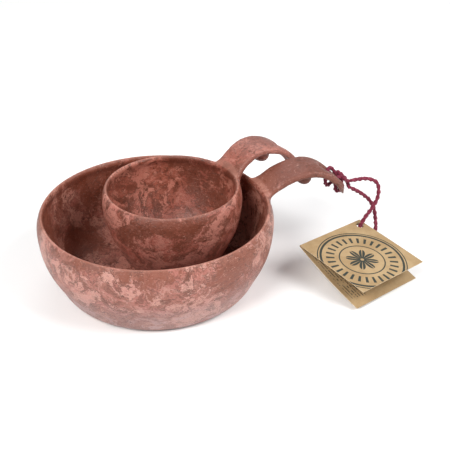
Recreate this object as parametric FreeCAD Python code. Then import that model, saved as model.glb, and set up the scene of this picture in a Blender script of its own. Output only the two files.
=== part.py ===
import FreeCAD, Part
import math
import os

from FreeCAD import Matrix, Rotation, Vector

# Nested pair of kuksa vessels, a large bowl and a small cup, with a folded card tag that a
# loop of twine ties to the bowl's handle.  Lengths are in millimetres, angles in degrees.
# The origin is at the centre of the bowl's foot, +Z is up and +X runs along the bowl's handle.

# Both vessels: how far the inner floor corner is from the foot's edge, in walls, and the
# direction of the outer wall as it turns into the lip.
FLOOR_CORNER_WALLS = 2.2
LIP_DIRECTION = Vector(-0.6, 0, 1)

# Bowl.  Its outside is (radius, share of the height), from the foot's edge to the lip.
BOWL_HEIGHT = 52.4
BOWL_WALL = 3.2
BOWL_FLOOR = 3.5
BOWL_OUTSIDE = [(57.4, 0.0), (61.0, 0.05), (64.8, 0.18), (69.2, 0.35), (72.7, 0.55),
                (74.0, 0.75), (73.6, 0.9), (72.0, 0.97)]

# Cup, which stands off centre on the bowl's floor.
CUP_HEIGHT = 54.4
CUP_WALL = 3.0
CUP_FLOOR = 3.2
CUP_CENTRE = Vector(14.8, 12.6, 0)
CUP_HANDLE_AZIMUTH = 11.5
STAND_GAP = 0.3
CUP_OUTSIDE = [(28.5, 0.0), (31.7, 0.06), (35.6, 0.2), (40.7, 0.4), (43.9, 0.6),
               (45.1, 0.8), (44.5, 0.92), (43.4, 0.97)]

# Handles.  LINE is the strap's top as (reach from the vessel's axis, height above the table).
# SIDE is half of its outline seen from above, as (reach, half width).  END is the round end's
# centre and radius, and SLOT the slot's two end centres and its radius.  The strap is lofted
# with a margin on each side, and an upright prism of height TALL cuts it to its outline.
STRAP_THICKNESS = 4.4
STRAP_CAMBER = 1.4
STRAP_MARGIN = 2.0
TALL = 100.0
BOWL_HANDLE_LINE = [(62.0, 46.0), (70.0, 52.4), (78.0, 57.2), (87.0, 61.0), (96.0, 62.9),
                    (104.0, 63.0), (112.5, 60.6), (120.0, 55.8), (126.5, 49.3), (133.5, 39.5)]
BOWL_HANDLE_SIDE = [(62.0, 18.6), (70.0, 14.0), (78.0, 12.3), (88.0, 12.1), (100.0, 12.7)]
BOWL_HANDLE_END = (118.4, 12.9)
BOWL_SLOT = (119.6, 121.1, 7.0)
CUP_HANDLE_LINE = [(34.0, 51.0), (42.0, 59.0), (48.0, 65.4), (55.0, 69.6), (63.0, 71.4),
                   (70.5, 70.6), (78.0, 68.0), (85.0, 63.6), (91.5, 57.0), (99.5, 45.0)]
CUP_HANDLE_SIDE = [(34.0, 18.6), (42.0, 14.0), (49.0, 12.1), (57.0, 11.8), (68.0, 12.4)]
CUP_HANDLE_END = (85.3, 12.6)
CUP_SLOT = (86.0, 87.8, 6.8)
NUB_HALF_SIZES = (5.5, 9.0, 6.2)
NUB_BEFORE_SLOT = 11.8
NUB_BELOW_STRAP = 3.3

# Tag: two square leaves of card that share a fold.
TAG_SIDE = 56.0
TAG_CARD = 0.5
TAG_FOLD_START = Vector(85.8, -31.7, 21.8)
TAG_FOLD_AZIMUTH = 18.5
TAG_FOLD_DROP = 2.15
TAG_LOWER_SLOPE = 19.8
TAG_UPPER_SLOPE = 6.1
TAG_FOLD_GAP = 0.15
TAG_HOLE_RADIUS = 2.7
TAG_HOLE_ALONG = 51.4
TAG_HOLE_OUT = 5.2

# Twine.  The loop's route runs from the hitch through the tag's hole and back to the hitch.
TWINE_RADIUS = 1.2
LOOP_ROUTE = [Vector(*point) for point in (
    (132.4, -10.2, 47.1), (137.8, -9.8, 48.3), (144.4, -10.6, 48.2), (150.3, -13.6, 45.2),
    (150.4, -16.4, 37.6), (145.8, -18.4, 30.8), (138.2, -20.0, 24.0), (133.9, -20.3, 13.6),
    (133.4, -22.0, 7.4), (139.5, -24.0, 3.8), (146.5, -21.5, 5.8), (150.4, -18.0, 12.0),
    (150.6, -15.5, 19.5), (149.9, -13.7, 26.8), (146.6, -11.8, 33.4), (141.4, -10.4, 39.0),
    (136.6, -10.0, 42.4), (132.0, -10.0, 44.3))]
ARC_SHARE = 0.45

# Hitch: two turns round the end bar of the bowl's handle, and the bight that joins them.
HITCH_TURN_ANGLE = 38.0
HITCH_TURN_RADIUS = 3.7
BAR_SLOPE = 50.0
BAR_MIDDLE_UNDER_TOP = 2.2
BIGHT_SINK = 0.5


def outside_curve(outline, height, base):
    """Smooth outer profile of a vessel in the XZ plane."""
    curve = Part.BSplineCurve()
    curve.interpolate([Vector(radius, 0, base + share * height) for radius, share in outline])
    return curve


def inside_points(outer, outline, height, base, wall, floor):
    """The outer profile's points moved in by the wall, above the inner corner of the floor."""
    points = []
    for radius, share in outline:
        point = Vector(radius, 0, base + share * height)
        tangent = outer.tangent(outer.parameter(point))[0]
        inner = point + Vector(-tangent.z, 0, tangent.x) * wall
        if inner.z > base + floor + wall:
            points.append(inner)
    return points


def revolved(edges):
    """Solid of revolution about Z of a closed profile."""
    return Part.Face(Part.Wire(edges)).revolve(Vector(0, 0, 0), Vector(0, 0, 1), 360)


def vessel_solids(outline, height, base, wall, floor):
    """Outer body and cavity of a round vessel with a rounded lip."""
    outer = outside_curve(outline, height, base)
    foot_edge = outer.value(outer.FirstParameter)
    shoulder = outer.value(outer.LastParameter)
    inner_points = inside_points(outer, outline, height, base, wall, floor)
    rim = Vector((shoulder.x + inner_points[-1].x) / 2, 0, base + height)
    rim_axis = Vector(0, 0, rim.z)
    foot_axis = Vector(0, 0, base)
    lip = Part.BSplineCurve()
    lip.interpolate([shoulder, rim], Tangents=[LIP_DIRECTION, Vector(-1, 0, 0)],
                    TangentFlags=[True, True])
    body = revolved([
        outer.toShape(), lip.toShape(), Part.makeLine(rim, rim_axis),
        Part.makeLine(rim_axis, foot_axis), Part.makeLine(foot_axis, foot_edge)])
    floor_edge = Vector(foot_edge.x - FLOOR_CORNER_WALLS * wall, 0, base + floor)
    floor_axis = Vector(0, 0, base + floor)
    inner = Part.BSplineCurve()
    inner.interpolate([floor_edge] + inner_points + [rim])
    cavity = revolved([
        inner.toShape(), Part.makeLine(rim, rim_axis),
        Part.makeLine(rim_axis, floor_axis), Part.makeLine(floor_axis, floor_edge)])
    return body, cavity


def strap_section(point, tangent, half_width):
    """Cambered cross section of a strap, square to its top line."""
    up = Vector(-tangent.z, 0, tangent.x)
    side = Vector(0, half_width, 0)
    edge = point - up * STRAP_CAMBER
    under = up * STRAP_THICKNESS
    top = Part.Arc(edge - side, point, edge + side).toShape()
    bottom = Part.Arc(edge + side - under, point - under, edge - side - under).toShape()
    return Part.Wire([top, Part.makeLine(edge + side, edge + side - under),
                      bottom, Part.makeLine(edge - side - under, edge - side)])


def handle_outline(side_points, end):
    """Outline of a handle seen from above: flared root, waist and round end."""
    centre, radius = end
    along = Vector(1, 0, 0)
    near_points = [Vector(x, -y, 0) for x, y in side_points] + [Vector(centre, -radius, 0)]
    far_points = [Vector(point.x, -point.y, 0) for point in reversed(near_points)]
    near = Part.BSplineCurve()
    near.interpolate(near_points, InitialTangent=Vector(1, 1, 0), FinalTangent=along)
    far = Part.BSplineCurve()
    far.interpolate(far_points, InitialTangent=-along, FinalTangent=Vector(-1, 1, 0))
    tip = Part.Arc(near_points[-1], Vector(centre + radius, 0, 0), far_points[0])
    root = Part.makeLine(far_points[-1], near_points[0])
    return Part.Wire([near.toShape(), tip.toShape(), far.toShape(), root])


def slot_outline(slot):
    """Long round-ended slot seen from above."""
    start, end, radius = slot
    near_start, far_start = Vector(start, -radius, 0), Vector(start, radius, 0)
    near_end, far_end = Vector(end, -radius, 0), Vector(end, radius, 0)
    outer_end = Part.Arc(near_end, Vector(end + radius, 0, 0), far_end)
    inner_end = Part.Arc(far_start, Vector(start - radius, 0, 0), near_start)
    return Part.Wire([Part.makeLine(near_start, near_end), outer_end.toShape(),
                      Part.makeLine(far_end, far_start), inner_end.toShape()])


def upright_prism(outline):
    """Tall vertical prism over an outline drawn at height 0."""
    return Part.Face(outline).extrude(Vector(0, 0, TALL))


def top_line(line):
    """Smooth top line of a handle in the XZ plane."""
    curve = Part.BSplineCurve()
    curve.interpolate([Vector(x, 0, z) for x, z in line])
    return curve


def height_at(curve, reach):
    """Height of a handle's top line at a distance from the vessel's axis."""
    upright = Part.Line(Vector(reach, 0, 0), Vector(reach, 0, 1)).toShape(0, TALL)
    return curve.toShape().distToShape(upright)[1][0][0].z


def nub(curve, slot):
    """Rounded lip that hangs under the inner end of a handle's slot."""
    start, _, radius = slot
    reach = start - radius - NUB_BEFORE_SLOT
    height = height_at(curve, reach)
    scale = Matrix()
    scale.scale(*NUB_HALF_SIZES)
    ball = Part.makeSphere(1.0).transformGeometry(scale)
    ball.translate(Vector(reach, 0, height - STRAP_THICKNESS - NUB_BELOW_STRAP))
    return ball


def handle_solid(line, side_points, end, slot):
    """Curved strap with a round end, a slot, and a nub under the slot's inner end."""
    curve = top_line(line)
    half_width = side_points[0][1] + STRAP_MARGIN
    sections = []
    for x, z in line:
        point = Vector(x, 0, z)
        tangent = curve.tangent(curve.parameter(point))[0]
        sections.append(strap_section(point, tangent, half_width))
    strap = Part.makeLoft(sections, True, False)
    strap = strap.common(upright_prism(handle_outline(side_points, end)))
    return strap.cut(upright_prism(slot_outline(slot))).fuse(nub(curve, slot))


def vessel_with_handle(outline, height, base, wall, floor, handle):
    """Round vessel with its handle in one piece, open inside."""
    body, cavity = vessel_solids(outline, height, base, wall, floor)
    return body.fuse(handle).cut(cavity).removeSplitter()


def make_bowl():
    handle = handle_solid(BOWL_HANDLE_LINE, BOWL_HANDLE_SIDE, BOWL_HANDLE_END, BOWL_SLOT)
    return vessel_with_handle(BOWL_OUTSIDE, BOWL_HEIGHT, 0, BOWL_WALL, BOWL_FLOOR, handle)


def make_cup():
    handle = handle_solid(CUP_HANDLE_LINE, CUP_HANDLE_SIDE, CUP_HANDLE_END, CUP_SLOT)
    base = BOWL_FLOOR + STAND_GAP
    cup = vessel_with_handle(CUP_OUTSIDE, CUP_HEIGHT, base, CUP_WALL, CUP_FLOOR, handle)
    cup.rotate(Vector(0, 0, 0), Vector(0, 0, 1), CUP_HANDLE_AZIMUTH)
    cup.translate(CUP_CENTRE)
    return cup


def leaf_placement(slope):
    """Placement with x along the tag's fold, y across the leaf and z up through the card."""
    turned = Rotation(Vector(0, 0, 1), TAG_FOLD_AZIMUTH)
    dropped = Rotation(Vector(0, 1, 0), TAG_FOLD_DROP)
    sloped = Rotation(Vector(1, 0, 0), slope)
    return FreeCAD.Placement(TAG_FOLD_START, turned * dropped * sloped)


def make_leaf(slope, low):
    """One square leaf of the tag, its card starting at height low above the fold's line."""
    card = Part.makeBox(TAG_SIDE, TAG_SIDE - TAG_FOLD_GAP, TAG_CARD, Vector(0, -TAG_SIDE, low))
    hole = Part.makeCylinder(TAG_HOLE_RADIUS, 4 * TAG_CARD,
                             Vector(TAG_HOLE_ALONG, -TAG_HOLE_OUT, low - TAG_CARD))
    leaf = card.cut(hole)
    leaf.Placement = leaf_placement(slope)
    return leaf


def arc_centres(route):
    """Tangent points and middle of the arc at each inner point of a route."""
    arcs = []
    for before, corner, after in zip(route, route[1:], route[2:]):
        run_in, run_out = corner - before, after - corner
        turn = run_in.getAngle(run_out)
        reach = ARC_SHARE * min(run_in.Length, run_out.Length)
        radius = reach / math.tan(turn / 2)
        start = corner - run_in.normalize() * reach
        end = corner + run_out.normalize() * reach
        inward = (start + end) / 2 - corner
        middle = corner + inward.normalize() * (radius / math.cos(turn / 2) - radius)
        arcs.append((start, middle, end, radius, math.degrees(turn)))
    return arcs


def twine_tube(route):
    """Tube of twine along straight runs joined by tangent arcs."""
    edges = []
    last = route[0]
    for start, middle, end, radius, turn in arc_centres(route):
        print("arc radius %.1f mm, turn %.0f degrees" % (radius, turn))
        edges.append(Part.LineSegment(last, start).toShape())
        edges.append(Part.Arc(start, middle, end).toShape())
        last = end
    edges.append(Part.LineSegment(last, route[-1]).toShape())
    path = Part.Wire(edges)
    circle = Part.makeCircle(TWINE_RADIUS, route[0], route[1] - route[0])
    tube = path.makePipeShell([Part.Wire([circle])], True, False)
    section = math.pi * TWINE_RADIUS ** 2
    print("twine loop %.1f mm long, tube volume %.1f, section times length %.1f mm3"
          % (path.Length, tube.Volume, section * path.Length))
    return tube


def bar_point(angle, out):
    """Point beside the end bar of the bowl's handle, out from the bar's middle line."""
    centre, radius = BOWL_HANDLE_END
    slot_end = BOWL_SLOT[1] + BOWL_SLOT[2]
    middle_reach = (centre + radius + slot_end) / 2
    middle_radius = middle_reach - centre
    x = centre + (middle_radius + out) * math.cos(math.radians(angle))
    y = (middle_radius + out) * math.sin(math.radians(angle))
    return Vector(x, y, 0)


def make_hitch():
    """Two turns of twine round the end bar, joined by a bight along its outer side."""
    slope = math.radians(BAR_SLOPE)
    tip = bar_point(0, 0)
    bar_top_height = height_at(top_line(BOWL_HANDLE_LINE), tip.x)
    pieces = []
    ends = []
    for side in (-1, 1):
        angle = side * HITCH_TURN_ANGLE
        middle = bar_point(angle, 0)
        middle.z = bar_top_height - (middle.x - tip.x) * math.tan(slope) - BAR_MIDDLE_UNDER_TOP
        along = Vector(-math.sin(math.radians(angle)), math.cos(math.radians(angle)),
                       math.sin(math.radians(angle)) * math.tan(slope))
        pieces.append(Part.makeTorus(HITCH_TURN_RADIUS, TWINE_RADIUS, middle, along))
        outward = bar_point(angle, 1) - bar_point(angle, 0)
        ends.append(middle + outward * (HITCH_TURN_RADIUS - BIGHT_SINK))
    bight_middle = bar_point(0, HITCH_TURN_RADIUS)
    bight_middle.z = bar_top_height - BAR_MIDDLE_UNDER_TOP
    path = Part.Wire([Part.Arc(ends[0], bight_middle, ends[1]).toShape()])
    circle = Part.makeCircle(TWINE_RADIUS, ends[0], path.Edges[0].tangentAt(
        path.Edges[0].FirstParameter))
    pieces.append(path.makePipeShell([Part.Wire([circle])], True, False))
    return pieces[0].fuse(pieces[1:])


def main():
    os.makedirs("parts", exist_ok=True)
    nodes = {
        "bowl": make_bowl(),
        "cup": make_cup(),
        "twine_hitch": make_hitch(),
        "twine_loop": twine_tube(LOOP_ROUTE),
        "tag_lower_leaf": make_leaf(TAG_LOWER_SLOPE, -TAG_FOLD_GAP - TAG_CARD),
        "tag_upper_leaf": make_leaf(TAG_UPPER_SLOPE, TAG_FOLD_GAP),
    }
    for name, shape in nodes.items():
        box = shape.BoundBox
        print("%s valid %s solids %d volume %.0f x %.1f..%.1f y %.1f..%.1f z %.2f..%.2f" % (
            name, shape.isValid(), len(shape.Solids), shape.Volume,
            box.XMin, box.XMax, box.YMin, box.YMax, box.ZMin, box.ZMax))
        shape.exportStep("parts/%s.step" % name)


main()
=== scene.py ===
import math
import random

import bpy
import numpy as np
from mathutils import Matrix, Vector


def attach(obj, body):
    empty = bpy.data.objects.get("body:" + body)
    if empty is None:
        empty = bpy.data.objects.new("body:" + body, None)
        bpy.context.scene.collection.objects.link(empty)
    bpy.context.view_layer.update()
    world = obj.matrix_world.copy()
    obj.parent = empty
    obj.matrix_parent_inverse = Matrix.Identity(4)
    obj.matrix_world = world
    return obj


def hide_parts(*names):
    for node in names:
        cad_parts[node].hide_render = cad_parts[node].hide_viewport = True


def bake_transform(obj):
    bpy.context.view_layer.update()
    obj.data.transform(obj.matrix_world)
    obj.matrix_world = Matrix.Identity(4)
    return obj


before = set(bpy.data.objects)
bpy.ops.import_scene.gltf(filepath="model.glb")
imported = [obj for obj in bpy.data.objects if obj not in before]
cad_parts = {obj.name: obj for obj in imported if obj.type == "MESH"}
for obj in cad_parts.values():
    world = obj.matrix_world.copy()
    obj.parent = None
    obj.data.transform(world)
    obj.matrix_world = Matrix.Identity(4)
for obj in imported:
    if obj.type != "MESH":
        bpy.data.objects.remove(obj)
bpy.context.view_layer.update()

# Nested kuksa bowl and cup with a card tag tied on by twine.  Lengths are in millimetres
# where a name or comment says so, and are turned into metres as the meshes are made.

MM = 0.001

# Camera: its place in metres, its turns in degrees, and its lens in millimetres.
CAMERA_PLACE = (-0.12188, -0.43817, 0.31399)
CAMERA_TILT = 58.66
CAMERA_TURN = -21.0
CAMERA_LENS = 67.05

# Twine, in millimetres.  The loop's route repeats the points of the CAD tube, some of them
# moved by a millimetre or two.
LOOP_ROUTE = [
    (131.4, -9.2, 49.2), (137.8, -9.8, 49.6), (144.6, -10.6, 49.4), (151.2, -13.4, 46.6),
    (150.8, -16.4, 37.6), (145.8, -18.4, 30.8), (138.2, -20.0, 24.0), (133.9, -20.3, 13.6),
    (133.4, -22.0, 7.4), (139.5, -24.0, 3.8), (146.5, -21.5, 5.8), (150.4, -18.0, 12.0),
    (150.6, -15.5, 19.5), (149.9, -13.7, 26.8), (146.6, -11.8, 33.4), (141.4, -10.4, 37.9),
    (136.6, -10.0, 41.6), (132.0, -10.0, 44.3)]

# The twine's two plies, and the loose fibres that stand out of it, in millimetres.
PLY_RADIUS = 0.98
PLY_OFFSET = 0.46
PLY_PITCH = 7.4
PLY_SIDES = 9
PLY_END = 4.0
HAIR_RADIUS = 0.065
HAIR_LENGTHS = (0.8, 2.9)
HAIR_SIDES = 3
HAIR_JOINTS = 5
LOOP_HAIRS = 420
HITCH_HAIRS = 260

# End bar of the bowl's handle, which the hitch goes round: the round end's centre, the
# radius of the bar's middle line, and the height of that line at the handle's tip.
BAR_CENTRE_X = 118.4
BAR_RADIUS = 11.3
BAR_HEIGHT = 42.8
BAR_SLOPE = 50.0

# Tag, in millimetres: the corner where the fold starts, and the leaves' slopes.
TAG_SIDE = 56.0
TAG_CORNER = Vector((85.8, -31.7, 21.8))
TAG_AZIMUTH = 18.5
TAG_DROP = 2.15
LOWER_SLOPE = 19.8
UPPER_SLOPE = 6.1
LEAF_MIDDLE = 0.4
CARD = 0.42
HOLE_ALONG = 51.4
HOLE_OUT = 5.2
HOLE_RADIUS = 2.7

# The leaf's net: half the square block of cells round the hole, cells across that block,
# cells along the rest of the leaf, and rings between the block and the hole.
HOLE_BLOCK = 3.6
BLOCK_CELLS = 8
LEAF_CELLS = 32
HOLE_RINGS = 3
CREASE_STEPS = 40
CREASE_TURNS = 10

# Print on the tag, in millimetres: the emblem's centre, its rings (radius, half of the line's
# width) and its band of rays, then the rows of dashes.
EMBLEM_ALONG = 23.5
EMBLEM_OUT = 33.0
EMBLEM_RINGS = ((28.8, 0.36), (26.8, 0.75), (14.8, 0.42))
RAY_COUNT = 28
RAY_START = 17.8
RAY_END = 23.6
PETAL_COUNT = 8
ROW_PITCH = 2.1
ROWS_ALONG = (3.0, 13.9)
ROWS_OUT = (9.0, 50.2)

# Vessels' meshes: the size of a cell in millimetres, and how often the surface is smoothed
# everywhere, past the lip, and where the handle grows out of the wall.
VESSEL_CELL = 0.8
TURNS_EVERYWHERE = 5
TURNS_PAST_LIP = 4
TURNS_AT_ROOT = 24

# Stage, in metres and watts: each light's name, place, side, power and colour.
FLOOR_HALF = 4.0
LIGHT_TARGET = (0.03, 0.0, 0.03)
LIGHTS = (
    ("key", (-0.80, -0.50, 0.95), 0.60, 16.0, (1.0, 0.99, 0.97)),
    ("front", (0.88, -0.75, 1.00), 0.80, 19.0, (1.0, 0.99, 0.98)),
    ("back", (0.25, 0.90, 1.10), 0.80, 4.0, (0.98, 0.99, 1.0)))
WORLD_COLOUR = (0.97, 0.985, 1.0, 1)
WORLD_STRENGTH = 0.37


# ------------------------------------------------------------------ helpers

def link(name, data):
    """New object in the scene."""
    thing = bpy.data.objects.new(name, data)
    bpy.context.scene.collection.objects.link(thing)
    return thing


def mesh_object(name, points, faces, material, smooth=True):
    """Mesh object from points in metres."""
    mesh = bpy.data.meshes.new(name)
    mesh.from_pydata([tuple(point) for point in points], [], faces)
    mesh.validate()
    mesh.polygons.foreach_set("use_smooth", [smooth] * len(mesh.polygons))
    mesh.materials.append(material)
    return link(name, mesh)


def store(piece, name, values, kind="FLOAT"):
    """Keeps one value, or one vector, per point for the material to read."""
    attribute = piece.data.attributes.new(name, kind, "POINT")
    field = "value" if kind == "FLOAT" else "vector"
    attribute.data.foreach_set(field, np.asarray(values, np.float32).ravel())


def place_piece(piece, body, slot, *nodes):
    """Rides a piece on a body and hides the CAD nodes it stands for; the slot it is given is not
    used.
    """
    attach(piece, body)
    if nodes:
        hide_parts(*nodes)


def smooth_line(name, route):
    """Points read from a NURBS spline whose control points are the route's, in metres."""
    data = bpy.data.curves.new(name, "CURVE")
    data.dimensions = "3D"
    data.resolution_u = 24
    spline = data.splines.new("NURBS")
    spline.points.add(len(route) - 1)
    for point, place in zip(spline.points, route):
        point.co = (place[0] * MM, place[1] * MM, place[2] * MM, 1)
    spline.order_u = 3
    spline.use_endpoint_u = True
    curve = link(name, data)
    mesh = bpy.data.meshes.new_from_object(curve)
    line = [vertex.co.copy() for vertex in mesh.vertices]
    bpy.data.objects.remove(curve)
    bpy.data.meshes.remove(mesh)
    return line


def frames_along(line):
    """(point, side, up, length so far) along a line, with no twist of their own."""
    frames = []
    side = None
    length = 0.0
    for index, point in enumerate(line):
        before, after = line[max(index - 1, 0)], line[min(index + 1, len(line) - 1)]
        along = (after - before).normalized()
        if side is None:
            side = along.orthogonal().normalized()
        side = (side - along * side.dot(along)).normalized()
        if index:
            length += (point - line[index - 1]).length
        frames.append((point, side, along.cross(side), length))
    return frames


# ---------------------------------------------------------------- materials

class Paint:
    """One node material, with short calls for the nodes it uses often."""

    def __init__(self, name):
        self.material = bpy.data.materials.new(name)
        self.material.use_nodes = True
        self.nodes = self.material.node_tree.nodes
        self.links = self.material.node_tree.links
        self.shader = self.nodes["Principled BSDF"]

    def add(self, kind, values, **settings):
        """A node with its inputs linked, or set to numbers or colours."""
        node = self.nodes.new(kind)
        for key, value in settings.items():
            setattr(node, key, value)
        for key, value in values.items():
            if isinstance(value, bpy.types.NodeSocket):
                self.links.new(value, node.inputs[key])
            elif value is not None:
                node.inputs[key].default_value = value
        return node

    def finish(self, colour, roughness, height, distance, strength=1.0):
        """Wires colour, roughness and bump to the shader."""
        bump = self.add("ShaderNodeBump", {"Height": height, "Distance": distance,
                                           "Strength": strength})
        self.links.new(colour, self.shader.inputs["Base Color"])
        self.links.new(roughness, self.shader.inputs["Roughness"])
        self.links.new(bump.outputs[0], self.shader.inputs["Normal"])
        return self.material

    def place(self):
        return self.add("ShaderNodeTexCoord", {}).outputs["Object"]

    def stored(self, name):
        return self.add("ShaderNodeAttribute", {}, attribute_name=name).outputs["Fac"]

    def stored_vector(self, name):
        return self.add("ShaderNodeAttribute", {}, attribute_name=name).outputs["Vector"]

    def parts(self, vector):
        return self.add("ShaderNodeSeparateXYZ", {0: vector}).outputs

    def math(self, operation, first, second=None):
        values = {0: first, 1: second}
        return self.add("ShaderNodeMath", values, operation=operation).outputs[0]

    def rest(self, value):
        """What is left of 1 when value is taken away."""
        return self.math("SUBTRACT", 1.0, value)

    def total(self, first, *others):
        for other in others:
            first = self.math("ADD", first, other)
        return first

    def times(self, first, *others):
        for other in others:
            first = self.math("MULTIPLY", first, other)
        return first

    def vector(self, operation, first, second):
        values = {0: first, 1: second}
        return self.add("ShaderNodeVectorMath", values, operation=operation).outputs[0]

    def noise(self, place, scale, detail=3.0, roughness=0.55, output="Fac"):
        values = {"Vector": place, "Scale": scale, "Detail": detail, "Roughness": roughness}
        return self.add("ShaderNodeTexNoise", values).outputs[output]

    def warped(self, place, scale, amount):
        """Place pushed about by a noise, by up to about half the amount."""
        push = self.noise(place, scale, 3.0, 0.5, "Color")
        push = self.vector("SUBTRACT", push, (0.5, 0.5, 0.5))
        push = self.vector("MULTIPLY", push, (amount, amount, amount))
        return self.vector("ADD", place, push)

    def step(self, value, low, high, start=0.0, end=1.0):
        """Smooth change from start to end as value goes from low to high."""
        values = {"Value": value, "From Min": low, "From Max": high,
                  "To Min": start, "To Max": end}
        node = self.add("ShaderNodeMapRange", values, interpolation_type="SMOOTHSTEP")
        return node.outputs["Result"]

    def mix(self, share, first, second, blend="MIX"):
        """Colour between two colours; share 0 gives the first."""
        values = {0: share, 6: first, 7: second}
        node = self.add("ShaderNodeMix", values, data_type="RGBA", blend_type=blend)
        return node.outputs[2]


def edge_line(paint, value, level, half_width):
    """1 along the line where a value passes a level, 0 away from it."""
    gap = paint.math("ABSOLUTE", paint.math("SUBTRACT", value, level))
    return paint.step(gap, half_width, half_width * 0.3)


def fine_noises(paint, place, bent):
    """Grain, mottle and fibre, and the ragged offset that tears the edges of the marks."""
    grain = paint.noise(paint.warped(place, 150.0, 0.0075), 520.0, 6.0, 0.75)
    mottle = paint.noise(paint.warped(bent, 120.0, 0.009), 135.0, 6.0, 0.74)
    fibre_place = paint.vector("MULTIPLY", paint.warped(place, 90.0, 0.006), (1.0, 1.0, 3.0))
    fibre = paint.noise(fibre_place, 480.0, 4.0, 0.78)
    torn = paint.times(paint.math("SUBTRACT", mottle, 0.5), 0.34)
    fine = paint.times(paint.math("SUBTRACT", grain, 0.5), 0.22)
    return grain, mottle, fibre, paint.total(torn, fine)


def flake_marks(paint, place, bent, ragged):
    """Value behind the flakes, the flakes, their rusty fringes and their dark edges."""
    value = paint.total(paint.noise(bent, 50.0, 6.0, 0.64), ragged)
    flake = paint.step(value, 0.503, 0.513)
    patchy = paint.step(paint.noise(place, 28.0, 2.0), 0.42, 0.56, 0.10, 1.0)
    fringe = paint.times(paint.step(value, 0.468, 0.503), patchy, paint.rest(flake))
    edge = paint.times(edge_line(paint, value, 0.500, 0.013), patchy)
    return value, flake, fringe, edge


def streak_marks(paint, bent, second_place, ragged):
    """Flattened streaks, and thin veins along some of their edges."""
    place = paint.vector("MULTIPLY", paint.vector("ADD", bent, (0.7, 0.4, 0.2)),
                         (1.0, 1.0, 2.6))
    value = paint.total(paint.noise(place, 46.0, 5.0, 0.7), ragged)
    zone = paint.step(paint.noise(second_place, 26.0, 2.0), 0.46, 0.56)
    return paint.step(value, 0.47, 0.56), paint.times(edge_line(paint, value, 0.505, 0.011), zone)


def brown_mark(paint, second_place, ragged, height, at_rim):
    """Brown patches, which grow towards the rim."""
    value = paint.total(paint.noise(second_place, 31.0, 5.0, 0.62), ragged,
                        paint.step(height, 0.030, 0.052, 0.0, at_rim))
    return paint.step(value, 0.548, 0.566)


def crack_mark(paint, bent, second_place, ragged, mottle):
    """Cracks along the edges of cells, in some zones only."""
    cells = paint.add("ShaderNodeTexVoronoi", {"Vector": bent, "Scale": 62.0},
                      feature="DISTANCE_TO_EDGE").outputs["Distance"]
    zone = paint.step(paint.noise(second_place, 30.0, 2.0), 0.52, 0.60)
    return paint.times(paint.step(paint.total(cells, ragged), 0.040, 0.0), zone,
                       paint.step(mottle, 0.42, 0.56))


def composite(name, shift, tones):
    """Marbled wood-fibre composite: torn-edged flakes, rusty fringes, fibres and cracks, with
    painted shade inside, a painted highlight on the lip and a bottom band of painted light.
    """
    paint = Paint(name)
    body = paint.place()
    place = paint.vector("ADD", body, shift)
    height = paint.parts(body)[2]
    inside = paint.stored("inside")
    bent = paint.warped(place, 34.0, 0.030)
    second_place = paint.vector("ADD", bent, (0.31, 0.17, 0.05))
    grain, mottle, fibre, ragged = fine_noises(paint, place, bent)
    flake_value, flake, fringe, torn_edge = flake_marks(paint, place, bent, ragged)
    streak, vein = streak_marks(paint, bent, second_place, ragged)
    brown = brown_mark(paint, second_place, ragged, height, tones["brown_at_rim"])
    crack = crack_mark(paint, bent, second_place, ragged, mottle)
    # Band towards the bottom of the outside. On the bowl it is a paler grey, partly the grey
    # streaks of its surface and partly a painted reflection of the pale floor; on the cup it is
    # darker, painted shade where it stands down in the bowl.
    low = paint.times(paint.step(height, 0.032, 0.006), paint.rest(inside))

    colour = tones["base"]
    for share, tone in (
            (paint.times(flake, tones["flake_share"]), "light"),
            (paint.times(streak, 0.40), "rose"),
            (paint.step(mottle, 0.530, 0.560, 0.0, 0.62), "light"),
            (paint.step(mottle, 0.468, 0.425, 0.0, 0.66), "rust"),
            (paint.times(fringe, 0.75), "rust"),
            (paint.times(brown, 0.84, paint.rest(paint.times(low, 0.6))), "brown"),
            (paint.times(low, paint.step(streak, 0.0, 1.0, 0.35, 0.80)), "low_band_painted_light"),
            (paint.times(paint.stored("handle"), 0.62), "handle"),
            (paint.times(paint.math("MAXIMUM", torn_edge, vein), 0.72), "crack"),
            (paint.times(crack, 0.7), "crack"),
            (paint.step(fibre, 0.605, 0.650, 0.0, 0.60), "fleck"),
            (paint.step(fibre, 0.420, 0.370, 0.0, 0.80), "rust"),
            (paint.step(grain, 0.415, 0.370, 0.0, 0.75), "crack")):
        colour = paint.mix(share, colour, tones[tone])
    # Painted shade: the inner surface is multiplied darker and redder.
    colour = paint.mix(inside, colour, tones["inside"], "MULTIPLY")
    # Painted highlight: a thin paler line along the top of the lip.
    colour = paint.mix(paint.times(paint.stored("rim"), 0.38), colour, tones["lip"])

    relief = paint.total(paint.times(flake_value, 0.9), paint.times(grain, 0.9),
                         paint.times(fibre, 0.4), paint.times(crack, -0.4))
    satin = paint.step(paint.total(paint.times(grain, 0.6), paint.times(mottle, 0.4)),
                       0.38, 0.62, *tones["gloss"])
    paint.shader.inputs["Specular IOR Level"].default_value = 0.45
    return paint.finish(colour, satin, relief, 0.0005, 0.6)


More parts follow.
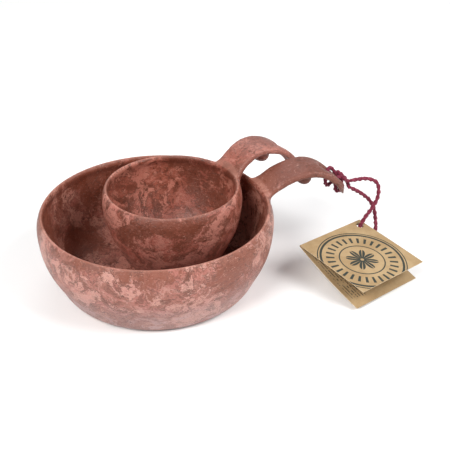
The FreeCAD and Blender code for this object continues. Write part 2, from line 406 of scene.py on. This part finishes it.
def twine_material():
    """Burgundy wool twine, with fibres that run along each ply."""
    paint = Paint("burgundy_twine")
    lay = paint.stored_vector("lay")
    stretched = paint.vector("MULTIPLY", lay, (0.45, 2.2, 1.0))
    fibre = paint.noise(stretched, 3.0, 5.0, 0.7)
    patch = paint.noise(paint.place(), 260.0, 3.0, 0.6)
    colour = paint.mix(paint.step(fibre, 0.34, 0.66), (0.060, 0.006, 0.016, 1),
                       (0.285, 0.034, 0.070, 1))
    colour = paint.mix(paint.step(patch, 0.52, 0.70, 0.0, 0.40), colour, (0.36, 0.062, 0.100, 1))
    roughness = paint.step(fibre, 0.3, 0.7, 0.85, 0.68)
    paint.shader.inputs["Sheen Weight"].default_value = 0.22
    paint.shader.inputs["Sheen Roughness"].default_value = 0.5
    paint.shader.inputs["Sheen Tint"].default_value = (1.0, 0.55, 0.65, 1)
    paint.shader.inputs["Specular IOR Level"].default_value = 0.2
    return paint.finish(colour, roughness, fibre, 0.00025, 0.8)


def ring(paint, distance, radius, half_width):
    """1 on a circle of that radius, 0 away from it."""
    gap = paint.math("ABSOLUTE", paint.math("SUBTRACT", distance, radius))
    return paint.step(gap, half_width + 0.12, half_width - 0.12)


def rosette(paint, distance, angle):
    """Petals, each with a vein, round a small open eye."""
    gap = paint.math("ABSOLUTE", paint.math("COSINE", paint.times(angle, PETAL_COUNT / 2)))
    reach = paint.total(paint.times(paint.math("POWER", gap, 0.6), 8.8), 2.0)
    petal = paint.step(paint.math("SUBTRACT", distance, reach), 0.2, -0.2)
    vein = paint.times(paint.step(gap, 0.985, 0.997), paint.step(distance, 2.6, 3.0))
    return paint.times(petal, paint.rest(vein), paint.step(distance, 1.2, 1.5))


def emblem(paint, along, out, grain):
    """Round folk emblem: rings, a band of short rays and a rosette."""
    across = paint.math("SUBTRACT", along, EMBLEM_ALONG)
    down = paint.math("SUBTRACT", out, EMBLEM_OUT)
    square = paint.total(paint.times(across, across), paint.times(down, down))
    distance = paint.total(paint.math("SQRT", square), paint.times(grain, 0.35))
    angle = paint.math("ARCTAN2", down, across)
    ray = paint.step(paint.math("COSINE", paint.times(angle, RAY_COUNT)), 0.30, 0.55)
    ink = paint.times(ray, paint.step(distance, RAY_START, RAY_START + 0.4),
                      paint.step(distance, RAY_END, RAY_END - 0.4))
    ink = paint.math("MAXIMUM", ink, rosette(paint, distance, angle))
    for radius, half_width in EMBLEM_RINGS:
        ink = paint.math("MAXIMUM", ink, ring(paint, distance, radius, half_width))
    return ink


def plain_rows(paint, along, out, grain):
    """Rows of plain dashes beside the leaf's edge, where small print would be."""
    line = paint.step(paint.math("PINGPONG", along, ROW_PITCH / 2), 0.62, 0.78)
    block = paint.times(paint.step(along, ROWS_ALONG[0], ROWS_ALONG[0] + 0.1),
                        paint.step(along, ROWS_ALONG[1], ROWS_ALONG[1] - 0.1),
                        paint.step(out, ROWS_OUT[0], ROWS_OUT[0] + 0.2),
                        paint.step(out, ROWS_OUT[1], ROWS_OUT[1] - 0.2))
    row_number = paint.math("FLOOR", paint.math("DIVIDE", along, ROW_PITCH))
    place = paint.add("ShaderNodeCombineXYZ", {0: out, 1: paint.times(row_number, 7.3)})
    dashes = paint.step(paint.noise(place.outputs[0], 0.85, 1.0), 0.43, 0.47)
    return paint.times(line, block, dashes, paint.step(grain, 0.2, 0.45))


def card_material(name, marks):
    """Kraft card with fibres and specks, pale cut edges, and print on its upper face."""
    paint = Paint(name)
    card = paint.stored_vector("card")
    place = paint.place()
    along, out, face = paint.parts(card)
    long_fibre = paint.noise(paint.vector("MULTIPLY", card, (0.35, 2.4, 1.0)), 1.6, 5.0, 0.7)
    cross_fibre = paint.noise(paint.vector("MULTIPLY", card, (2.2, 0.4, 1.0)), 1.4, 5.0, 0.7)
    cloud = paint.noise(place, 90.0, 4.0, 0.6)
    speck = paint.noise(place, 2600.0, 3.0, 0.6)
    colour = paint.mix(paint.step(cloud, 0.35, 0.65), (0.335, 0.226, 0.114, 1),
                       (0.408, 0.288, 0.156, 1))
    colour = paint.mix(paint.step(long_fibre, 0.55, 0.70, 0.0, 0.5), colour,
                       (0.50, 0.38, 0.235, 1))
    colour = paint.mix(paint.step(cross_fibre, 0.44, 0.30, 0.0, 0.5), colour,
                       (0.31, 0.19, 0.085, 1))
    colour = paint.mix(paint.step(speck, 0.36, 0.30, 0.0, 0.6), colour, (0.20, 0.11, 0.045, 1))
    wall = paint.times(paint.step(face, 0.05, 0.25), paint.step(face, 0.95, 0.75))
    colour = paint.mix(paint.times(wall, 0.8), colour, (0.66, 0.54, 0.38, 1))
    if marks:
        ink = paint.times(marks(paint, along, out, speck), paint.step(face, 0.6, 0.9))
        worn = paint.step(cross_fibre, 0.30, 0.45, 0.72, 0.97)
        colour = paint.mix(paint.times(ink, worn), colour, (0.022, 0.032, 0.030, 1))
    relief = paint.total(paint.times(long_fibre, 0.5), paint.times(cross_fibre, 0.5),
                         paint.times(speck, 0.3))
    roughness = paint.step(long_fibre, 0.3, 0.7, 0.72, 0.88)
    paint.shader.inputs["Specular IOR Level"].default_value = 0.3
    return paint.finish(colour, roughness, relief, 0.00012, 0.6)


BOWL_TONES = {
    "base": (0.285, 0.108, 0.080, 1), "light": (0.480, 0.245, 0.198, 1),
    "rose": (0.430, 0.145, 0.120, 1), "rust": (0.135, 0.040, 0.022, 1),
    # Bottom band tone: paler grey, partly grey streaks and partly a painted reflection of the
    # floor.
    "brown": (0.195, 0.054, 0.029, 1), "low_band_painted_light": (0.385, 0.262, 0.255, 1),
    "handle": (0.160, 0.052, 0.036, 1), "crack": (0.075, 0.026, 0.017, 1),
    # 'inside' is the painted shade multiplied onto the inner surface.
    "fleck": (0.620, 0.370, 0.310, 1), "inside": (0.92, 0.80, 0.74, 1),
    # 'lip' is the paler tone of the painted highlight on the lip.
    "lip": (0.520, 0.240, 0.180, 1), "brown_at_rim": 0.070, "gloss": (0.34, 0.56),
    "flake_share": 0.86}
CUP_TONES = {
    "base": (0.320, 0.098, 0.067, 1), "light": (0.500, 0.205, 0.158, 1),
    "rose": (0.440, 0.132, 0.104, 1), "rust": (0.120, 0.036, 0.020, 1),
    # Bottom band tone: darker, painted shade on the cup's lower body.
    "brown": (0.165, 0.046, 0.026, 1), "low_band_painted_light": (0.115, 0.044, 0.036, 1),
    "handle": (0.310, 0.115, 0.088, 1), "crack": (0.072, 0.025, 0.016, 1),
    # 'inside' is the painted shade multiplied onto the inner surface.
    "fleck": (0.620, 0.320, 0.250, 1), "inside": (0.82, 0.74, 0.68, 1),
    # 'lip' is the paler tone of the painted highlight on the lip.
    "lip": (0.520, 0.240, 0.180, 1), "brown_at_rim": 0.03, "gloss": (0.30, 0.50),
    "flake_share": 0.84}


# ------------------------------------------------------------------ vessels

def neighbours_mean(values, edges, count):
    """Mean of each point's neighbours, for values with three columns."""
    sums = np.zeros_like(values)
    for column in range(values.shape[1]):
        sums[:, column] = (
            np.bincount(edges[:, 0], values[edges[:, 1], column], len(values))
            + np.bincount(edges[:, 1], values[edges[:, 0], column], len(values)))
    return sums / count[:, None]


def ramp(value, low, high):
    """0 at low and 1 at high, straight between and flat beyond."""
    return np.clip((value - low) / (high - low), 0.0, 1.0)


def even_copy(node, name):
    """New object with the CAD node's mesh rebuilt in even cells."""
    copy = link(name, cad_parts[node].data.copy())
    copy.data.materials.clear()
    remesh = copy.modifiers.new("even", "REMESH")
    remesh.mode = "VOXEL"
    remesh.voxel_size = VESSEL_CELL * MM
    bpy.context.view_layer.update()
    evaluated = copy.evaluated_get(bpy.context.evaluated_depsgraph_get())
    mesh = bpy.data.meshes.new_from_object(evaluated)
    copy.modifiers.clear()
    copy.data = mesh
    return copy


def vertex_rows(mesh, field):
    """Places or normals of a mesh's points, as rows of three."""
    values = np.empty(len(mesh.vertices) * 3)
    mesh.vertices.foreach_get(field, values)
    return values.reshape(-1, 3)


def mark_vessel(piece, flat, radius, edges, count, lip_radius, lip_height):
    """Stores where a vessel's surface is inside, on its lip and on its handle; the inside carries
    painted shade and the lip a painted highlight.
    """
    normals = vertex_rows(piece.data, "normal")
    outward = (normals[:, :2] * flat).sum(1) / (radius * MM + 1e-9)
    height = vertex_rows(piece.data, "co")[:, 2] / MM
    inner = (outward < -0.25) | ((normals[:, 2] > 0.4) & (height < lip_height - 12.0))
    inner = (inner & (radius < lip_radius + 0.5)).astype(float)[:, None]
    for _ in range(6):
        inner = neighbours_mean(inner, edges, count)
    at_lip = ramp(radius, lip_radius + 2.2, lip_radius + 1.2) * (radius > lip_radius - 3.6)
    store(piece, "inside", inner[:, 0])
    store(piece, "rim", ramp(height, lip_height - 0.9, lip_height - 0.35) * at_lip)
    store(piece, "handle", ramp(radius, lip_radius + 3.0, lip_radius + 12.0))


def soft_vessel(node, material, axis, azimuth, lip_radius, lip_height):
    """The CAD vessel with its edges rounded and its handle's root blended into the wall."""
    piece = even_copy(node, node + "_shell")
    mesh = piece.data
    points = vertex_rows(mesh, "co")
    edges = np.empty(len(mesh.edges) * 2, np.int32)
    mesh.edges.foreach_get("vertices", edges)
    edges = edges.reshape(-1, 2)
    count = np.bincount(edges.ravel(), minlength=len(points)).astype(float)

    turn = math.radians(azimuth)
    flat = points[:, :2] - np.array(axis) * MM
    radius = np.hypot(flat[:, 0], flat[:, 1]) / MM
    reach = (flat @ np.array([math.cos(turn), math.sin(turn)])) / MM
    everywhere = np.ones(len(points))
    past_lip = ramp(radius, lip_radius + 0.5, lip_radius + 2.5)
    root = past_lip * ramp(reach, lip_radius + 11.0, lip_radius + 3.0)
    for turns, weight in ((TURNS_EVERYWHERE, everywhere), (TURNS_PAST_LIP, past_lip),
                          (TURNS_AT_ROOT, root)):
        for _ in range(turns):
            mean = neighbours_mean(points, edges, count)
            points += (mean - points) * 0.5 * weight[:, None]
    mesh.vertices.foreach_set("co", points.ravel())
    mesh.update()

    mark_vessel(piece, flat, radius, edges, count, lip_radius, lip_height)
    mesh.polygons.foreach_set("use_smooth", [True] * len(mesh.polygons))
    mesh.materials.append(material)
    place_piece(piece, node + "_body", node + "_composite", node)


def add_vessels():
    """Each vessel by its axis, its handle's azimuth, and its lip's radius and height."""
    bowl_paint = composite("bowl_composite_marbled", (0.0, 0.0, 0.0), BOWL_TONES)
    cup_paint = composite("cup_composite_marbled", (0.47, 0.21, 0.33), CUP_TONES)
    soft_vessel("bowl", bowl_paint, (0.0, 0.0), 0.0, 71.5, 52.4)
    soft_vessel("cup", cup_paint, (14.8, 12.6), 11.5, 42.5, 58.2)


# -------------------------------------------------------------------- twine

def close_tube(rings, sides, faces):
    """Faces between the rings of a tube, and its two end caps."""
    for first, second in zip(rings, rings[1:]):
        for corner in range(sides):
            following = (corner + 1) % sides
            faces.append((first + corner, first + following, second + following,
                          second + corner))
    faces.append(tuple(rings[0] + corner for corner in reversed(range(sides))))
    faces.append(tuple(rings[-1] + corner for corner in range(sides)))


def ply(frames, phase, points, faces, lay, rng):
    """One ply of the twine: a tube that winds round the line, with rounded closed ends."""
    rings = []
    last = len(frames) - 1
    for index, (middle, side, up, length) in enumerate(frames):
        angle = phase + 2 * math.pi * length / (PLY_PITCH * MM)
        out = side * math.cos(angle) + up * math.sin(angle)
        taper = math.sqrt(min(1.0, (min(index, last - index) + 0.15) / PLY_END))
        swell = 1.0 + 0.09 * math.sin(length / MM * 2.3 + phase * 3) + rng.uniform(-0.03, 0.03)
        radius = PLY_RADIUS * MM * taper * swell
        rings.append(len(points))
        for corner in range(PLY_SIDES):
            around = 2 * math.pi * corner / PLY_SIDES
            spoke = side * math.cos(around) + up * math.sin(around)
            points.append(middle + out * PLY_OFFSET * MM + spoke * radius)
            lay.append((length / MM, 3 * math.cos(around - angle), 3 * math.sin(around - angle)))
    close_tube(rings, PLY_SIDES, faces)


def hair(start, out, along, length, points, faces, rng):
    """One loose fibre: a thin tube that curls away from the twine."""
    curl = Vector([rng.uniform(-1, 1) for _ in range(3)])
    across = out.cross(along).normalized()
    rings = []
    for joint in range(HAIR_JOINTS):
        share = joint / (HAIR_JOINTS - 1)
        middle = (start + out * length * share + along * length * share * share * 0.9
                  + curl * length * share * share * 0.45)
        thick = HAIR_RADIUS * MM * (1.0 - 0.75 * share)
        rings.append(len(points))
        for corner in range(HAIR_SIDES):
            around = 2 * math.pi * corner / HAIR_SIDES
            points.append(middle + (across * math.cos(around) + along * math.sin(around)) * thick)
    close_tube(rings, HAIR_SIDES, faces)


def twine_pieces(name, line, body, material, hairs, *nodes):
    """Two-ply twine along a line, and its loose fibres as a second piece."""
    rng = random.Random(name)
    frames = frames_along(line)
    points, faces, lay = [], [], []
    for phase in (0.0, math.pi):
        ply(frames, phase, points, faces, lay, rng)
    twine = mesh_object(name, points, faces, material)
    store(twine, "lay", lay, "FLOAT_VECTOR")
    place_piece(twine, body, "twine", *nodes)
    points, faces = [], []
    for _ in range(hairs):
        index = rng.randrange(3, len(frames) - 3)
        middle, side, up, _length = frames[index]
        around = rng.uniform(0, 2 * math.pi)
        out = side * math.cos(around) + up * math.sin(around)
        along = side.cross(up) * rng.choice((-1, 1))
        hair(middle + out * MM, out * rng.uniform(0.35, 1.0), along,
             rng.uniform(*HAIR_LENGTHS) * MM, points, faces, rng)
    fuzz = mesh_object(name + "_fibres", points, faces, material)
    store(fuzz, "lay", [(point.x / MM, point.y / MM, point.z / MM) for point in points],
          "FLOAT_VECTOR")
    place_piece(fuzz, body, "twine")
    return twine, fuzz


def bar_place(angle, out, up):
    """Place in millimetres beside the end bar: out from its middle line, and above it."""
    turn = math.radians(angle)
    radius = BAR_RADIUS + out
    drop = BAR_RADIUS * (1 - math.cos(turn)) * math.tan(math.radians(BAR_SLOPE))
    return (BAR_CENTRE_X + radius * math.cos(turn), radius * math.sin(turn),
            BAR_HEIGHT + drop + up)


# The hitch round the end bar, as (angle, out, up) for bar_place.
HITCH_ROUTE = [
    (-30, 3.6, 3.2), (-14, 2.8, 3.8), (-2, 1.8, 4.3), (1, -0.8, 5.4), (0, -3.2, 4.8),
    (0, -3.5, 0.0), (2, -3.2, -4.2), (6, -0.6, -6.6), (9, 2.8, -6.2), (12, 3.5, -2.0),
    (17, 3.1, 0.8), (27, 2.6, 1.8), (38, 2.0, 2.8), (46, 0.2, 4.8), (52, -3.0, 4.6),
    (58, -4.9, 0.6), (63, -5.6, -4.0), (62, -4.4, -8.4), (54, -1.2, -10.2), (45, 2.6, -8.2),
    (40, 4.2, -3.4), (35, 3.8, 1.8), (26, 3.0, 4.4), (13, 3.2, 4.2), (0, 4.2, 2.8),
    (-14, 4.6, 0.8), (-28, 4.2, -0.4)]


def add_twine():
    material = twine_material()
    line = smooth_line("loop_line", LOOP_ROUTE)
    loop, fuzz = twine_pieces("twine_loop_strands", line, "tag_body", material, LOOP_HAIRS,
                              "twine_loop")
    route = [LOOP_ROUTE[0]] + [bar_place(*stop) for stop in HITCH_ROUTE] + [LOOP_ROUTE[-1]]
    twine_pieces("twine_hitch_strands", smooth_line("hitch_line", route), "bowl_body",
                 material, HITCH_HAIRS, "twine_hitch")
    return loop, fuzz, line


# ---------------------------------------------------------------------- tag

def leaf_matrix(slope):
    """Turns a leaf's own axes (along the fold, across, through the card) to the row frame."""
    return (Matrix.Rotation(math.radians(TAG_AZIMUTH), 3, "Z")
            @ Matrix.Rotation(math.radians(TAG_DROP), 3, "Y")
            @ Matrix.Rotation(math.radians(slope), 3, "X"))


def round_hole(points, faces, border):
    """Fills the square gap inside a border up to the round hole, ring by ring."""
    corners = [points[index] for index in border]
    previous = border
    for number in range(1, HOLE_RINGS + 1):
        share = number / HOLE_RINGS
        current = []
        for x, y in corners:
            angle = math.atan2(y - HOLE_OUT, x - HOLE_ALONG)
            round_x = HOLE_ALONG + HOLE_RADIUS * math.cos(angle)
            round_y = HOLE_OUT + HOLE_RADIUS * math.sin(angle)
            current.append(len(points))
            points.append((x + (round_x - x) * share, y + (round_y - y) * share))
        for index in range(len(border)):
            following = (index + 1) % len(border)
            faces.append((previous[following], current[following], current[index],
                          previous[index]))
        previous = current


def card_net():
    """Points (along, out) and faces of a square leaf with a round hole."""
    start = HOLE_ALONG - HOLE_BLOCK
    past = HOLE_OUT + HOLE_BLOCK
    cell = 2 * HOLE_BLOCK / BLOCK_CELLS
    along = [start * step / LEAF_CELLS for step in range(LEAF_CELLS)]
    along += [start + cell * step for step in range(BLOCK_CELLS + 1)] + [TAG_SIDE]
    out = [0.0] + [HOLE_OUT - HOLE_BLOCK + cell * step for step in range(BLOCK_CELLS + 1)]
    out += [past + (TAG_SIDE - past) * step / LEAF_CELLS for step in range(1, LEAF_CELLS + 1)]
    points = [(x, y) for y in out for x in along]
    wide = len(along)
    low, left = 1, LEAF_CELLS
    high, right = low + BLOCK_CELLS, left + BLOCK_CELLS
    faces = []
    for row in range(len(out) - 1):
        for column in range(wide - 1):
            if not (low <= row < high and left <= column < right):
                corner = row * wide + column
                faces.append((corner, corner + 1, corner + wide + 1, corner + wide))
    border = [low * wide + column for column in range(left, right)]
    border += [row * wide + right for row in range(low, high)]
    border += [high * wide + column for column in range(right, left, -1)]
    border += [row * wide + left for row in range(high, low, -1)]
    round_hole(points, faces, border)
    return points, faces


def leaf(name, slope, middle, bend, material, body, node):
    """One leaf of the tag: thin card, gently bent, with the hole cut through."""
    net, net_faces = card_net()
    matrix = leaf_matrix(slope)
    points, places = [], []
    for face_side in (1, 0):
        lift = middle + (face_side - 0.5) * CARD
        for along, out in net:
            raised = lift + bend(along / TAG_SIDE, out / TAG_SIDE)
            place = TAG_CORNER + matrix @ Vector((along, -out, raised))
            points.append(place * MM)
            places.append((along, out, face_side))
    count = len(net)
    faces = [tuple(reversed(face)) for face in net_faces]
    faces += [tuple(index + count for index in face) for face in net_faces]
    sides = {}
    for face in faces[:len(net_faces)]:
        sides.update(dict.fromkeys(zip(face, face[1:] + face[:1])))
    for start, end in sides:
        if (end, start) not in sides:
            faces.append((end, start, start + count, end + count))
    piece = mesh_object(name, points, faces, material, smooth=False)
    store(piece, "card", places, "FLOAT_VECTOR")
    place_piece(piece, body, "tag_card", node)


def lower_bend(along, out):
    """The lower leaf sags a little between its fold and its free edge."""
    return -0.9 * math.sin(math.pi * out) - 0.35 * (1 - along) * out * (1 - out) * 4


def upper_bend(along, out):
    """The upper leaf is nearly flat, with one corner that lifts slightly."""
    return 0.45 * math.sin(math.pi * out) * out + 0.3 * along * out * out


def crease(material):
    """Rounded fold that joins the two leaves."""
    matrix = leaf_matrix((LOWER_SLOPE + UPPER_SLOPE) / 2)
    points, places, faces = [], [], []
    sections = []
    for step in range(CREASE_STEPS + 1):
        along = TAG_SIDE * step / CREASE_STEPS
        section = []
        for radius, order in ((LEAF_MIDDLE + CARD / 2, range(CREASE_TURNS + 1)),
                              (LEAF_MIDDLE - CARD / 2, range(CREASE_TURNS, -1, -1))):
            for turn in order:
                angle = math.pi * (turn / CREASE_TURNS - 0.5)
                out = 0.35 - radius * math.cos(angle)
                place = TAG_CORNER + matrix @ Vector((along, -out, radius * math.sin(angle)))
                section.append(len(points))
                points.append(place * MM)
                places.append((along, out, 0.0))
        sections.append(section)
    size = len(sections[0])
    for first, second in zip(sections, sections[1:]):
        for index in range(size):
            following = (index + 1) % size
            faces.append((first[index], second[index], second[following], first[following]))
    faces.append(tuple(sections[0]))
    faces.append(tuple(reversed(sections[-1])))
    piece = mesh_object("tag_crease", points, faces, material)
    store(piece, "card", places, "FLOAT_VECTOR")
    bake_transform(piece)


def add_tag():
    leaf("tag_lower_card", LOWER_SLOPE, -LEAF_MIDDLE, lower_bend,
         card_material("kraft_card_rows", plain_rows), "tag_body", "tag_lower_leaf")
    leaf("tag_upper_card", UPPER_SLOPE, LEAF_MIDDLE, upper_bend,
         card_material("kraft_card_emblem", emblem), "tag_cover", "tag_upper_leaf")
    crease(card_material("kraft_card_fold", None))


# -------------------------------------------------------------------- stage

def add_camera():
    data = bpy.data.cameras.new("camera")
    data.lens = CAMERA_LENS
    camera = link("camera", data)
    camera.location = CAMERA_PLACE
    camera.rotation_euler = (math.radians(CAMERA_TILT), 0, math.radians(CAMERA_TURN))
    bpy.context.scene.camera = camera


def add_light(name, place, side, power, colour):
    """Soft square light that faces the object."""
    data = bpy.data.lights.new(name, "AREA")
    data.size = side
    data.energy = power
    data.color = colour
    light = link(name, data)
    light.location = place
    aim = Vector(LIGHT_TARGET) - Vector(place)
    light.rotation_euler = aim.to_track_quat("-Z", "Y").to_euler()


def add_floor():
    paint = Paint("pale_floor")
    cloud = paint.noise(paint.place(), 3.0, 2.0)
    colour = paint.mix(cloud, (0.885, 0.885, 0.89, 1), (0.915, 0.915, 0.915, 1))
    roughness = paint.step(cloud, 0.3, 0.7, 0.75, 0.85)
    material = paint.finish(colour, roughness, cloud, 0.0001, 0.1)
    corners = [(x * FLOOR_HALF, y * FLOOR_HALF, 0) for x, y in ((-1, -1), (1, -1), (1, 1), (-1, 1))]
    mesh_object("floor", corners, [(0, 1, 2, 3)], material)


def add_lights():
    world = bpy.data.worlds.new("studio")
    world.use_nodes = True
    background = world.node_tree.nodes["Background"]
    background.inputs["Color"].default_value = WORLD_COLOUR
    background.inputs["Strength"].default_value = WORLD_STRENGTH
    bpy.context.scene.world = world
    for light in LIGHTS:
        add_light(*light)


add_camera()
loop, fuzz, loop_line = add_twine()
add_tag()
add_vessels()
add_floor()
add_lights()
bpy.context.scene.view_settings.view_transform = "Standard"
